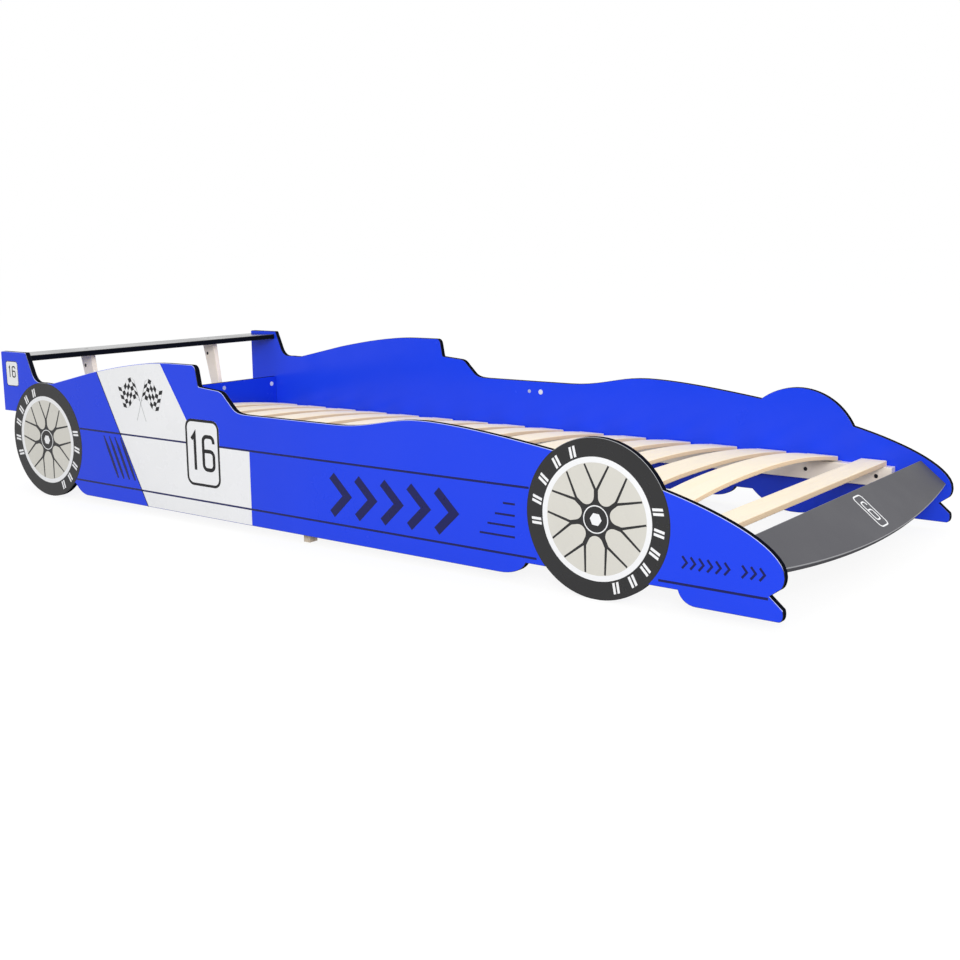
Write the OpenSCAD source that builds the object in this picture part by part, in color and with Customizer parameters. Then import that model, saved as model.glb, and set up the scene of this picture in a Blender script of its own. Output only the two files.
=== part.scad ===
// Racing car bed for children: two cut-out side panels, a headboard, a rear wing on two supports,
// a sloping nose board, and a slatted base on two rails.
// X runs from the rear wing (-) to the nose (+), Y across the bed, Z up, and the wheels stand on Z = 0.
// "Station" means the distance of a place from the rear end of the side panels.

/* [Mattress] */
// Length of the mattress
mattress_length = 2000; // [1900:10:2100]
// Width of the mattress
mattress_width = 900; // [800:10:1000]
// Room beside the mattress, on each side
mattress_room = 5; // [2:1:12]

/* [Side panels] */
// Length of the panel behind the mattress
tail_length = 112; // [110:1:118]
// Length of the panel in front of the mattress
nose_length = 138; // [130:2:160]
// Height of the wing plates and of the engine cover
panel_height = 380; // [370:2:400]
// Thickness of the panels
panel_thickness = 15; // [15:1:20]
// Radius of the wheels in the outline, as a share of the panels' height
wheel_share = 0.4; // [0.39:0.005:0.415]
// Depth of the flat that each wheel stands on
wheel_flat = 0.3; // [0.2:0.1:1]
// Thickness of a printed foil
foil_thickness = 0.2; // [0.1:0.1:0.4]
// Distance between the joint of the panel halves and their fittings
joint_reach = 19; // [19:1:26]

/* [Headboard and wing] */
// Height of the headboard's lower edge above the floor
headboard_bottom = 50; // [40:2:52]
// Height of the headboard's upper edge, as a share of the panels' height
headboard_top_share = 0.617; // [0.59:0.001:0.66]
// Thickness of the headboard
headboard_thickness = 15; // [15:1:20]
// Room between the wing's edges and the ends of the panels' tail
wing_edge_room = 2; // [2:1:6]
// Thickness of the wing
wing_thickness = 15; // [15:1:18]
// How far the wing's upper face lies below the top of the wing plates
wing_drop = 9; // [6:1:14]
// Distance of the wing supports from the middle of the bed
support_place = 228; // [150:2:300]
// Thickness of the wing supports
support_thickness = 15; // [14:1:18]
// Width of a wing support where it lies against the headboard
support_foot = 36; // [30:1:42]
// Width of a wing support under the wing
support_head = 50; // [46:1:56]

/* [Nose board] */
// Length of the nose board down its slope, at its ends
nose_board_length = 76; // [72:1:80]
// How far the nose board's front edge bows out in the middle
nose_board_bow = 36; // [25:1:45]
// Thickness of the nose board
nose_board_thickness = 15; // [15:1:18]
// Slope of the nose board
nose_board_angle = 39.5; // [36:0.5:42]

/* [Slatted base] */
// Height of the rails' lower edge above the floor
rail_bottom = 91; // [86:1:94]
// Height of the rails
rail_height = 46; // [44:1:50]
// Thickness of the rails
rail_thickness = 25; // [24:1:32]
// Number of bent slats
slat_count = 15; // [12:1:17]
// Width of a bent slat
slat_width = 76; // [60:1:84]
// Thickness of a bent slat
slat_thickness = 11; // [8:1:14]
// Rise of a bent slat in the middle
slat_crown = 29; // [20:1:34]
// Rise of the last bent slat, which stands higher in the photo
last_slat_crown = 35; // [20:1:38]
// Width of the flat front slat
front_slat_width = 60; // [50:1:64]
// Thickness of the flat front slat
front_slat_thickness = 13; // [12:1:18]
// Gap between the ends of the slats and the side panels
slat_end_gap = 8; // [5:1:10]
// Thickness of the webbing under the bent slats
strap_thickness = 1.5; // [1:0.5:2]
// Width of the middle legs along the bed
leg_width = 18; // [14:1:19]

/* [Hidden] */
$fn = 48;

function slat_name(i) = str("slat_", i < 10 ? "0" : "", i);

blue = [0.14, 0.24, 0.86];
black = [0.10, 0.10, 0.11];
tyre_grey = [0.20, 0.20, 0.20];
rim_grey = [0.82, 0.82, 0.79];
white = [0.93, 0.93, 0.92];
nose_grey = [0.38, 0.38, 0.40];
slat_wood = [0.96, 0.88, 0.74];
dowel_wood = [0.85, 0.70, 0.48];
zinc = [0.72, 0.73, 0.75];

// Overrun of every cut, and the play between a fitting and its hole
overrun = 1;
fit = 0.1;

// Places across the bed and along it
inner_y = mattress_width / 2 + mattress_room;
outer_y = inner_y + panel_thickness;
panel_middle_y = inner_y + panel_thickness / 2;
panel_length = tail_length + mattress_length + nose_length;
mattress_end_station = tail_length + mattress_length;

// Outline of the side panel, as shares of its length and height.
// A row of two numbers is a corner, and a row of three points is the rest of a curve.
curve_steps = 10;
outline_shares = [
    [0, 0.574], [0, 0.986],
    [[0, 0.996], [0.0008, 1], [0.0027, 1]],
    [0.0494, 1],
    [[0.0507, 1], [0.0511, 0.996], [0.0516, 0.990]],
    [0.0596, 0.882],
    [[0.0624, 0.838], [0.0662, 0.800], [0.0756, 0.798]],
    [0.1, 0.798], [0.1778, 0.901],
    [[0.2222, 0.953], [0.2711, 1], [0.3111, 1]],
    [0.3480, 1],
    [[0.3520, 1], [0.3543, 0.985], [0.3550, 0.953]],
    [0.3574, 0.880],
    [[0.3577, 0.871], [0.3582, 0.868], [0.3595, 0.867]],
    [0.3875, 0.853],
    [[0.3928, 0.849], [0.3955, 0.833], [0.3982, 0.815]],
    [0.4090, 0.754],
    [[0.4140, 0.729], [0.4205, 0.724], [0.4330, 0.724]],
    [0.5510, 0.724],
    [[0.5950, 0.724], [0.6170, 0.795], [0.6560, 0.795]],
    [[0.6900, 0.795], [0.7380, 0.764], [0.7933, 0.716]],
    [[0.8300, 0.682], [0.8650, 0.628], [0.8987, 0.582]],
    [[0.9170, 0.555], [0.9330, 0.526], [0.9493, 0.489]],
    [[0.9730, 0.436], [1, 0.350], [1, 0.258]],
    [[1, 0.228], [0.9985, 0.206], [0.9955, 0.197]],
    [0.9884, 0.165], [0.9990, 0.111],
    [[1.0005, 0.090], [1, 0.053], [0.9960, 0.053]],
    [0.9289, 0.053],
    [[0.9200, 0.053], [0.9145, 0.087], [0.9129, 0.121]],
    [0.7693, 0.121],
    [[0.7671, 0.087], [0.7578, 0.050], [0.7413, 0.050]],
    [0.1564, 0.050],
    [[0.1467, 0.050], [0.1391, 0.087], [0.1347, 0.121]],
    [0.1156, 0.121], [0.0267, 0.574]
];

function on_panel(share) = [share[0] * panel_length, share[1] * panel_height];
function is_corner(row) = is_num(row[0]);
function last_point(row) = on_panel(is_corner(row) ? row : row[2]);
function curve_point(a, b, c, d, t) =
    a * pow(1 - t, 3) + b * 3 * t * pow(1 - t, 2) + c * 3 * t * t * (1 - t) + d * pow(t, 3);
function curve(a, row) =
    [for (k = [1 : curve_steps])
        curve_point(a, on_panel(row[0]), on_panel(row[1]), on_panel(row[2]), k / curve_steps)];
outline_points = [
    for (i = [0 : len(outline_shares) - 1])
        each is_corner(outline_shares[i])
            ? [on_panel(outline_shares[i])]
            : curve(last_point(outline_shares[i - 1]), outline_shares[i])
];

// Wheels
rear_wheel_share = 0.0836;
front_wheel_share = 0.8382;
wheel_radius = wheel_share * panel_height;
wheel_stations = [rear_wheel_share * panel_length, front_wheel_share * panel_length];
wheel_z = wheel_radius - wheel_flat;
wheel_sides = 180;

// Nose board
nose_board_start_share = [0.9684, 0.413];
nose_board_station = on_panel(nose_board_start_share)[0];
nose_board_z = on_panel(nose_board_start_share)[1];
nose_board_steps = 36;
bow_radius = (pow(inner_y, 2) + pow(nose_board_bow, 2)) / (2 * nose_board_bow);
function bow_at(y) = sqrt(pow(bow_radius, 2) - pow(y, 2)) - bow_radius + nose_board_bow;

// The bed is centred on X = 0 over its whole length
nose_front = nose_board_station + (nose_board_length + nose_board_bow) * cos(nose_board_angle);
rear_x = -max(panel_length, nose_front) / 2;

// Headboard and wing
headboard_top = headboard_top_share * panel_height;
headboard_front_station = tail_length;
headboard_rear_station = tail_length - headboard_thickness;
headboard_middle_station = tail_length - headboard_thickness / 2;
wing_station = wing_edge_room;
wing_depth = tail_length - 2 * wing_edge_room;
wing_top = panel_height - wing_drop;
wing_bottom = wing_top - wing_thickness;
wing_middle_station = wing_station + wing_depth / 2;
wing_middle_z = wing_top - wing_thickness / 2;
support_bottom = 90;
support_lean = 18;
support_head_front = headboard_rear_station - support_lean;
support_foot_rear = headboard_rear_station - support_foot;

// Slatted base
joint_share = 0.5022;
joint_station = joint_share * panel_length;
rail_top = rail_bottom + rail_height;
rail_overhang = 11;
rail_length = mattress_length + rail_overhang;
rail_inner_y = inner_y - rail_thickness;
rail_middle_y = inner_y - rail_thickness / 2;
rail_bolt_end = 35;
rail_bolt_pitch = 168;
rail_bolt_z = rail_bottom + rail_height / 2;
rail_bolt_stations = [
    for (reach = [rail_bolt_end, rail_bolt_end + rail_bolt_pitch])
        each [tail_length + reach, joint_station - reach, joint_station + reach,
              tail_length + rail_length - reach]
];
slat_half_length = inner_y - slat_end_gap;
slat_seat_z = rail_top + strap_thickness;
slat_flat_end = 7;
slat_bend_y = slat_half_length - slat_flat_end;
first_slat_room = 25;
last_slat_room = 120;
slat_pitch = (mattress_length - first_slat_room - last_slat_room - slat_width) / (slat_count - 1);
slat_steps = 24;
slat_curve = 2.25;
front_slat_room = 6;
front_slat_station = mattress_end_station - front_slat_room - front_slat_width;
strap_width = 20;
strap_overhang = 8;

// Cam fittings: a cam in one board draws in a bolt that is fixed in the other
cam_radius = 6;
cam_depth = 12.5;
cam_reach = 22;
cam_edge_room = 23;
lower_cam_room = 22;
cam_bore_radius = 3.5;
cap_radius = 7;
cap_thickness = 1.2;
bolt_head_radius = 3.3;
bolt_head_length = 4;
bolt_neck_radius = 2;
bolt_radius = 3;
thread_radius = 2.5;
thread_length = 11;

// Barrel nuts and their caps
nut_radius = 5;
nut_floor = 2;
nut_sink = 1.5;
nut_cap_rise = 0.5;
bolt_tail = 3;

// Wooden dowels
dowel_radius = 4;
dowel_in_panel = 10;
dowel_in_board = 20;
dowel_edge_room = 20;
small_dowel_radius = 3;
small_dowel_length = 40;
small_dowel_spread = 6;
slat_dowel_spread = 16;
slat_dowel_in_rail = 14;

// Bolts of the rails and the wing, with their insert nuts
bolt_cap_radius = 5;
bolt_cap_length = 6;
bolt_recess = 8;
bolt_socket_radius = 2.8;
bolt_socket_depth = 3;
insert_radius = 5;
insert_length = 12;
bolt_end_room = 1;

wing_bolt_room = 29;
wing_bolt_length = 46;
wing_nut_drop = 32;
nut_side_room = 0.5;
support_dowel_room = 11;
support_dowel_in_wing = 10;

// Screws that hold the wing supports
screw_head_radius = 5;
screw_head_length = 4;
screw_radius = 2.5;
screw_length = 40;
screw_cap_radius = 6.5;
screw_top_room = 17;
screw_bottom_room = 25;

// Printed foils
foil_margin = 1.5;
tyre_inner_share = 0.765;
tyre_inner_radius = tyre_inner_share * wheel_radius;
spoke_count = 7;
spoke_width = 4.5;
hub_share = 0.17;
fork_share = 0.40;
spoke_end_share = 0.66;
stripe_shares = [[0.1789, 1], [0.2978, 1], [0.3528, 0.513], [0.4316, 0.513], [0.4316, 0], [0.2700, 0]];
number_place_share = [0.3607, 0.4566];
number_size = [118, 160];
number_corner = 22;
plate_place_share = [0.0211, 0.845];
plate_size = [55, 68];
plate_corner = 9;

// Joints across the bed, in the left half: station, height, direction of the cam's open side, thickness
nose_cam_share = 0.66;
nose_dowel_share = 0.28;
function on_nose_board(share) =
    let (u = share * nose_board_length, w = nose_board_thickness / 2)
        [nose_board_station + u * cos(nose_board_angle) - w * sin(nose_board_angle),
         nose_board_z - u * sin(nose_board_angle) - w * cos(nose_board_angle)];
headboard_joints = [
    [headboard_middle_station, headboard_top - cam_edge_room, 0, headboard_thickness],
    [headboard_middle_station, headboard_bottom + lower_cam_room, 0, headboard_thickness]
];
wing_joints = [[wing_middle_station, wing_middle_z, -90, wing_thickness]];
nose_joints = [concat(on_nose_board(nose_cam_share), [270 - nose_board_angle, nose_board_thickness])];
headboard_dowels = [
    [headboard_middle_station, headboard_top - 2 * cam_edge_room - dowel_edge_room],
    [headboard_middle_station, headboard_bottom + 2 * cam_edge_room]
];
wing_dowels = [[wing_station + dowel_edge_room, wing_middle_z],
               [wing_station + wing_depth - dowel_edge_room, wing_middle_z]];
nose_dowels = [on_nose_board(nose_dowel_share)];

// Joints of the panel halves
joint_fitting_shares = [0.145, 0.65];
joint_dowel_shares = [0.40, 0.53];
joint_fitting_heights = [for (share = joint_fitting_shares) share * panel_height];
joint_dowel_heights = [for (share = joint_dowel_shares) share * panel_height];

module at_station(station, y = 0, z = 0) {
    translate([rear_x + station, y, z]) children();
}

module on_right() {
    mirror([0, 1, 0]) children();
}

module on_both_sides() {
    children();
    on_right() children();
}

// Stands a shape drawn in station and height upright, from y towards the middle of the bed
module upright(y, thickness) {
    at_station(0, y) rotate([90, 0, 0]) linear_extrude(thickness) children();
}

module pin_along_x(start, end, radius) {
    translate([start, 0, 0]) rotate([0, 90, 0]) cylinder(r = radius, h = end - start);
}

module pin_along_y(start, end, radius) {
    translate([0, start, 0]) rotate([-90, 0, 0]) cylinder(r = radius, h = end - start);
}

module pin_along_z(start, end, radius) {
    translate([0, 0, start]) cylinder(r = radius, h = end - start);
}

// Fittings are drawn with the joint at Y = 0, the bolt along Y and the cam open towards +X
module at_joint(joint) {
    at_station(joint[0], inner_y, joint[1]) rotate([0, -joint[2], 0]) children();
}

module at_panel_joint(height) {
    at_station(joint_station, panel_middle_y, height) rotate([180, 0, -90]) children();
}

module cam_bores(thickness, reach) {
    translate([0, -reach, 0]) pin_along_x(thickness / 2 - cam_depth, thickness / 2 + overrun, cam_radius + fit);
    pin_along_y(-reach, overrun, cam_bore_radius);
}

module cam_lock(thickness, reach) {
    difference() {
        translate([0, -reach, 0]) pin_along_x(thickness / 2 - cam_depth, thickness / 2, cam_radius);
        pin_along_y(-reach - bolt_head_length, -reach + cam_radius + overrun, cam_bore_radius);
    }
}

module cam_bolt(reach, end) {
    pin_along_y(-reach - bolt_head_length / 2, -reach + bolt_head_length / 2, bolt_head_radius);
    pin_along_y(-reach, -reach + cam_radius, bolt_neck_radius);
    pin_along_y(-reach + cam_radius, 0, bolt_radius);
    pin_along_y(0, end, thread_radius);
}

module cam_cap(thickness, reach) {
    translate([0, -reach, 0]) pin_along_x(thickness / 2, thickness / 2 + cap_thickness, cap_radius);
}

module barrel_nut(thickness) {
    difference() {
        pin_along_x(-thickness / 2 + nut_floor, thickness / 2 - nut_sink, nut_radius);
        pin_along_y(-nut_radius - overrun, nut_radius + overrun, thread_radius + fit);
    }
}

module barrel_nut_bore(thickness) {
    pin_along_x(-thickness / 2 + nut_floor - fit, thickness / 2 + overrun, nut_radius + fit);
}

// A bolt along Y with a sunk hexagon socket in its head, which starts at Y = 0
module socket_bolt(length) {
    difference() {
        pin_along_y(0, bolt_cap_length, bolt_cap_radius);
        pin_along_y(-overrun, bolt_socket_depth, bolt_socket_radius, $fn = 6);
    }
    pin_along_y(bolt_cap_length, length, bolt_radius);
}

// Left side panel
module panel_blank() {
    upright(outer_y, panel_thickness) polygon(outline_points);
    for (station = wheel_stations)
        at_station(station, 0, wheel_z) pin_along_y(inner_y, outer_y, wheel_radius, $fn = wheel_sides);
}

module panel_joint_bores() {
    for (height = joint_fitting_heights) at_panel_joint(height) {
        cam_bores(panel_thickness, joint_reach);
        pin_along_y(0, joint_reach + nut_radius + bolt_tail + fit, thread_radius + fit);
        translate([0, joint_reach, 0]) barrel_nut_bore(panel_thickness);
    }
    for (height = joint_dowel_heights)
        at_station(joint_station, panel_middle_y, height)
            pin_along_x(-dowel_in_board - fit, dowel_in_board + fit, dowel_radius + fit);
}

module panel_bores() {
    for (joint = concat(headboard_joints, wing_joints, nose_joints))
        at_joint(joint) pin_along_y(-overrun, thread_length + fit, thread_radius + fit);
    for (place = concat(headboard_dowels, wing_dowels, nose_dowels))
        at_station(place[0], inner_y, place[1])
            pin_along_y(-overrun, dowel_in_panel + fit, dowel_radius + fit);
    for (station = rail_bolt_stations)
        at_station(station, inner_y, rail_bolt_z)
            pin_along_y(-overrun, insert_length + fit, insert_radius + fit);
}

module left_panel(start, end) {
    color(blue) difference() {
        intersection() {
            panel_blank();
            at_station(start, inner_y - overrun)
                cube([end - start, panel_thickness + 2 * overrun, panel_height + overrun]);
        }
        panel_bores();
        panel_joint_bores();
    }
}

module left_panel_rear() {
    left_panel(-overrun, joint_station);
}

module left_panel_front() {
    left_panel(joint_station, panel_length + overrun);
}

module right_panel_rear() {
    on_right() left_panel_rear();
}

module right_panel_front() {
    on_right() left_panel_front();
}

// Printed foils on the outer faces, in two layers
module foils(layer) {
    on_both_sides() upright(outer_y + layer * foil_thickness, foil_thickness) children();
}

module at_wheels() {
    for (station = wheel_stations) translate([station, wheel_z]) children();
}

module tyre_foils() {
    color(tyre_grey) foils(1) at_wheels() difference() {
        circle(r = wheel_radius - foil_margin, $fn = wheel_sides);
        circle(r = tyre_inner_radius, $fn = wheel_sides);
    }
}

module rim_foils() {
    color(rim_grey) foils(1) at_wheels() circle(r = tyre_inner_radius - fit, $fn = wheel_sides);
}

// A bar from one point to another, both at an angle from straight up and a distance from the hub
module spoke_bar(from, to) {
    start = from[1] * [sin(from[0]), cos(from[0])];
    run = to[1] * [sin(to[0]), cos(to[0])] - start;
    translate(start) rotate(atan2(run[1], run[0]))
        translate([-spoke_width / 2, -spoke_width / 2]) square([norm(run) + spoke_width, spoke_width]);
}

module spoke_foils() {
    fork_radius = fork_share * wheel_radius;
    color(tyre_grey) foils(2) at_wheels() {
        circle(r = hub_share * wheel_radius);
        for (i = [1 : spoke_count]) rotate(360 * i / spoke_count) {
            spoke_bar([0, 0], [0, fork_radius]);
            for (side = [-1, 1])
                spoke_bar([0, fork_radius], [side * 90 / spoke_count, spoke_end_share * wheel_radius]);
        }
    }
}

module stripe_foils() {
    color(white) foils(1) intersection() {
        polygon([for (share = stripe_shares) on_panel(share)]);
        translate([0, foil_margin]) polygon(outline_points);
        translate([0, -foil_margin]) polygon(outline_points);
    }
}

module rounded_plate(place_share, size, corner) {
    translate(on_panel(place_share)) {
        square([size[0], size[1] - 2 * corner], center = true);
        square([size[0] - 2 * corner, size[1]], center = true);
        for (side = [-1, 1], end = [-1, 1])
            translate([side * (size[0] / 2 - corner), end * (size[1] / 2 - corner)]) circle(r = corner);
    }
}

module number_foils() {
    color(white) {
        foils(2) rounded_plate(number_place_share, number_size, number_corner);
        foils(1) rounded_plate(plate_place_share, plate_size, plate_corner);
    }
}

// Boards that lie across the bed
module dowel_bores(places) {
    on_both_sides() for (place = places)
        at_station(place[0], inner_y, place[1])
            pin_along_y(-dowel_in_board - fit, overrun, dowel_radius + fit);
}

module board_cam_bores(joints) {
    on_both_sides() for (joint = joints) at_joint(joint) cam_bores(joint[3], cam_reach);
}

screw_heights = [headboard_top - screw_top_room, support_bottom + screw_bottom_room];

module at_support_screws() {
    on_both_sides() for (height = screw_heights)
        at_station(headboard_front_station, support_place, height) children();
}

module headboard() {
    color(blue) difference() {
        at_station(headboard_rear_station, -inner_y, headboard_bottom)
            cube([headboard_thickness, 2 * inner_y, headboard_top - headboard_bottom]);
        board_cam_bores(headboard_joints);
        dowel_bores(headboard_dowels);
        at_support_screws() {
            pin_along_x(-screw_head_length, overrun, screw_head_radius + fit);
            pin_along_x(-headboard_thickness - overrun, 0, screw_radius + fit);
        }
    }
}

module at_wing_bolts(z) {
    on_both_sides() at_station(support_head_front - wing_bolt_room, support_place, z) children();
}

module at_support_dowels() {
    on_both_sides() at_station(support_head_front - support_dowel_room, support_place, wing_bottom) children();
}

module support_dowel_bore() {
    pin_along_z(-dowel_in_board - fit, support_dowel_in_wing + fit, dowel_radius + fit);
}

module rear_wing() {
    color(black) difference() {
        at_station(wing_station, -inner_y, wing_bottom) cube([wing_depth, 2 * inner_y, wing_thickness]);
        board_cam_bores(wing_joints);
        dowel_bores(wing_dowels);
        at_support_dowels() support_dowel_bore();
        at_wing_bolts(wing_top) {
            pin_along_z(-bolt_cap_length, overrun, bolt_cap_radius + fit);
            pin_along_z(-wing_thickness - overrun, 0, bolt_radius + fit);
        }
    }
}

module left_wing_support() {
    support_outline = [
        [support_foot_rear, support_bottom], [headboard_rear_station, support_bottom],
        [headboard_rear_station, headboard_top], [support_head_front, wing_bottom],
        [support_head_front - support_head, wing_bottom], [support_foot_rear, headboard_top]
    ];
    color(white) difference() {
        upright(support_place + support_thickness / 2, support_thickness) polygon(support_outline);
        at_support_dowels() support_dowel_bore();
        at_wing_bolts(wing_top) pin_along_z(-wing_bolt_length - fit, 0, bolt_radius + fit);
        at_wing_bolts(wing_bottom - wing_nut_drop)
            pin_along_y(-support_thickness / 2 - overrun, support_thickness / 2 + overrun, nut_radius + fit);
        at_support_screws() pin_along_x(-screw_length - fit, 0, screw_radius + fit);
    }
}

module right_wing_support() {
    on_right() left_wing_support();
}

module nose_board() {
    rows = [for (k = [-nose_board_steps : nose_board_steps]) inner_y * k / nose_board_steps];
    color(nose_grey) difference() {
        at_station(nose_board_station, 0, nose_board_z) rotate([0, nose_board_angle, 0])
            translate([0, 0, -nose_board_thickness]) linear_extrude(nose_board_thickness)
                polygon(concat([[0, inner_y], [0, -inner_y]],
                               [for (y = rows) [nose_board_length + bow_at(y), y]]));
        board_cam_bores(nose_joints);
        dowel_bores(nose_dowels);
    }
}

// Slatted base
module at_rail_bolts() {
    for (station = rail_bolt_stations) at_station(station, rail_inner_y, rail_bolt_z) children();
}

module at_slat_dowels() {
    for (side = [-1, 1])
        at_station(front_slat_station + front_slat_width / 2 + side * slat_dowel_spread, rail_middle_y, rail_top)
            children();
}

module at_leg_dowels() {
    for (side = [-1, 1])
        at_station(joint_station, rail_middle_y + side * small_dowel_spread, rail_bottom) children();
}

module slat_dowel_bore() {
    pin_along_z(-slat_dowel_in_rail - fit, dowel_in_panel + fit, dowel_radius + fit);
}

module leg_dowel_bore() {
    pin_along_z(-small_dowel_length / 2 - fit, small_dowel_length / 2 + fit, small_dowel_radius + fit);
}

module left_rail() {
    color(white) difference() {
        at_station(tail_length, rail_inner_y, rail_bottom) cube([rail_length, rail_thickness, rail_height]);
        at_rail_bolts() {
            pin_along_y(-overrun, bolt_recess, bolt_cap_radius + fit);
            pin_along_y(0, rail_thickness + overrun, bolt_radius + fit);
        }
        at_slat_dowels() slat_dowel_bore();
        at_leg_dowels() leg_dowel_bore();
    }
}

module right_rail() {
    on_right() left_rail();
}

module left_middle_leg() {
    color(dowel_wood) difference() {
        at_station(joint_station - leg_width / 2, rail_inner_y) cube([leg_width, rail_thickness, rail_bottom]);
        at_leg_dowels() leg_dowel_bore();
    }
}

module right_middle_leg() {
    on_right() left_middle_leg();
}

module leg_dowels() {
    color(dowel_wood) on_both_sides() at_leg_dowels()
        pin_along_z(-small_dowel_length / 2, small_dowel_length / 2, small_dowel_radius);
}

// Rise of a slat's underside: its ends lie flat on the webbing, and its bend starts beside them
function slat_rise(y, crown) = crown * (1 - pow(min(abs(y) / slat_bend_y, 1), slat_curve));
slat_rows = concat([-slat_half_length],
                   [for (k = [-slat_steps : slat_steps]) slat_bend_y * k / slat_steps],
                   [slat_half_length]);

module slat(i) {
    crown = i == slat_count ? last_slat_crown : slat_crown;
    color(slat_wood) at_station(tail_length + first_slat_room + (i - 1) * slat_pitch, 0, slat_seat_z)
        rotate([90, 0, 90]) linear_extrude(slat_width) polygon(concat(
            [for (y = slat_rows) [y, slat_rise(y, crown)]],
            [for (y = slat_rows) [-y, slat_rise(y, crown) + slat_thickness]]));
}

module front_slat() {
    color(slat_wood) difference() {
        at_station(front_slat_station, -slat_half_length, rail_top)
            cube([front_slat_width, 2 * slat_half_length, front_slat_thickness]);
        on_both_sides() at_slat_dowels() slat_dowel_bore();
    }
}

module front_slat_dowels() {
    color(dowel_wood) on_both_sides() at_slat_dowels()
        pin_along_z(-slat_dowel_in_rail, dowel_in_panel, dowel_radius);
}

module left_slat_strap() {
    color(white) at_station(tail_length + first_slat_room - strap_overhang,
                            rail_middle_y - strap_width / 2, rail_top)
        cube([(slat_count - 1) * slat_pitch + slat_width + 2 * strap_overhang, strap_width, strap_thickness]);
}

module right_slat_strap() {
    on_right() left_slat_strap();
}

// Fasteners
module rail_bolts() {
    color(zinc) on_both_sides() at_rail_bolts() translate([0, bolt_recess - bolt_cap_length, 0])
        socket_bolt(rail_thickness + insert_length - bolt_recess + bolt_cap_length - bolt_end_room);
}

module rail_insert_nuts() {
    color(zinc) on_both_sides() at_rail_bolts() translate([0, rail_thickness, 0]) difference() {
        pin_along_y(0, insert_length, insert_radius);
        pin_along_y(-overrun, insert_length + overrun, bolt_radius + fit);
    }
}

board_joints = concat(headboard_joints, wing_joints, nose_joints);

module cam_locks() {
    color(zinc) on_both_sides() {
        for (joint = board_joints) at_joint(joint) cam_lock(joint[3], cam_reach);
        for (height = joint_fitting_heights) at_panel_joint(height) cam_lock(panel_thickness, joint_reach);
    }
}

module cam_bolts() {
    color(zinc) on_both_sides() {
        for (joint = board_joints) at_joint(joint) cam_bolt(cam_reach, thread_length);
        for (height = joint_fitting_heights)
            at_panel_joint(height) cam_bolt(joint_reach, joint_reach + nut_radius + bolt_tail);
    }
}

module cam_caps() {
    color(white) on_both_sides() {
        for (joint = board_joints) at_joint(joint) cam_cap(joint[3], cam_reach);
        for (height = joint_fitting_heights) at_panel_joint(height) cam_cap(panel_thickness, joint_reach);
    }
}

module joint_barrel_nuts() {
    color(zinc) on_both_sides() for (height = joint_fitting_heights)
        at_panel_joint(height) translate([0, joint_reach, 0]) barrel_nut(panel_thickness);
}

module joint_caps() {
    color(white) on_both_sides() for (height = joint_fitting_heights)
        at_panel_joint(height) translate([panel_thickness / 2, joint_reach, 0])
            pin_along_x(-nut_sink, nut_cap_rise, nut_radius);
}

module panel_dowels() {
    color(dowel_wood) on_both_sides() for (height = joint_dowel_heights)
        at_station(joint_station, panel_middle_y, height)
            pin_along_x(-dowel_in_board, dowel_in_board, dowel_radius);
}

module board_dowels() {
    color(dowel_wood) {
        on_both_sides() for (place = concat(headboard_dowels, wing_dowels, nose_dowels))
            at_station(place[0], inner_y, place[1])
                pin_along_y(-dowel_in_board, dowel_in_panel, dowel_radius);
        at_support_dowels() pin_along_z(-dowel_in_board, support_dowel_in_wing, dowel_radius);
    }
}

module wing_bolts() {
    color(zinc) at_wing_bolts(wing_top) rotate([-90, 0, 0]) socket_bolt(wing_bolt_length);
}

module wing_barrel_nuts() {
    color(zinc) at_wing_bolts(wing_bottom - wing_nut_drop) difference() {
        pin_along_y(-support_thickness / 2 + nut_side_room, support_thickness / 2 - nut_side_room, nut_radius);
        pin_along_z(-nut_radius - overrun, nut_radius + overrun, bolt_radius + fit);
    }
}

module support_screws() {
    color(zinc) at_support_screws() {
        pin_along_x(-screw_head_length, 0, screw_head_radius);
        pin_along_x(-screw_length, -screw_head_length, screw_radius);
    }
}

module support_screw_caps() {
    color(white) at_support_screws() pin_along_x(0, cap_thickness, screw_cap_radius);
}

right_panel_rear();
right_panel_front();
left_panel_rear();
left_panel_front();
tyre_foils();
rim_foils();
spoke_foils();
stripe_foils();
number_foils();
headboard();
rear_wing();
right_wing_support();
left_wing_support();
nose_board();
right_rail();
left_rail();
right_middle_leg();
left_middle_leg();
leg_dowels();
front_slat();
front_slat_dowels();
right_slat_strap();
left_slat_strap();
rail_bolts();
rail_insert_nuts();
cam_locks();
cam_bolts();
cam_caps();
joint_barrel_nuts();
joint_caps();
panel_dowels();
board_dowels();
wing_bolts();
wing_barrel_nuts();
support_screws();
support_screw_caps();
for (i = [1 : slat_count]) slat(i);
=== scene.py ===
"""Looks of the racing car bed: camera, light, materials, rounded boards and printed graphics.

"Station" is the distance from the rear end of the side panels, and "height" the distance above the floor.
Both are given in millimetres, as are all sizes that are multiplied by MM. Other lengths are in metres.
"""
import math

import bmesh
import bpy
from mathutils import Matrix, Vector


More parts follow.
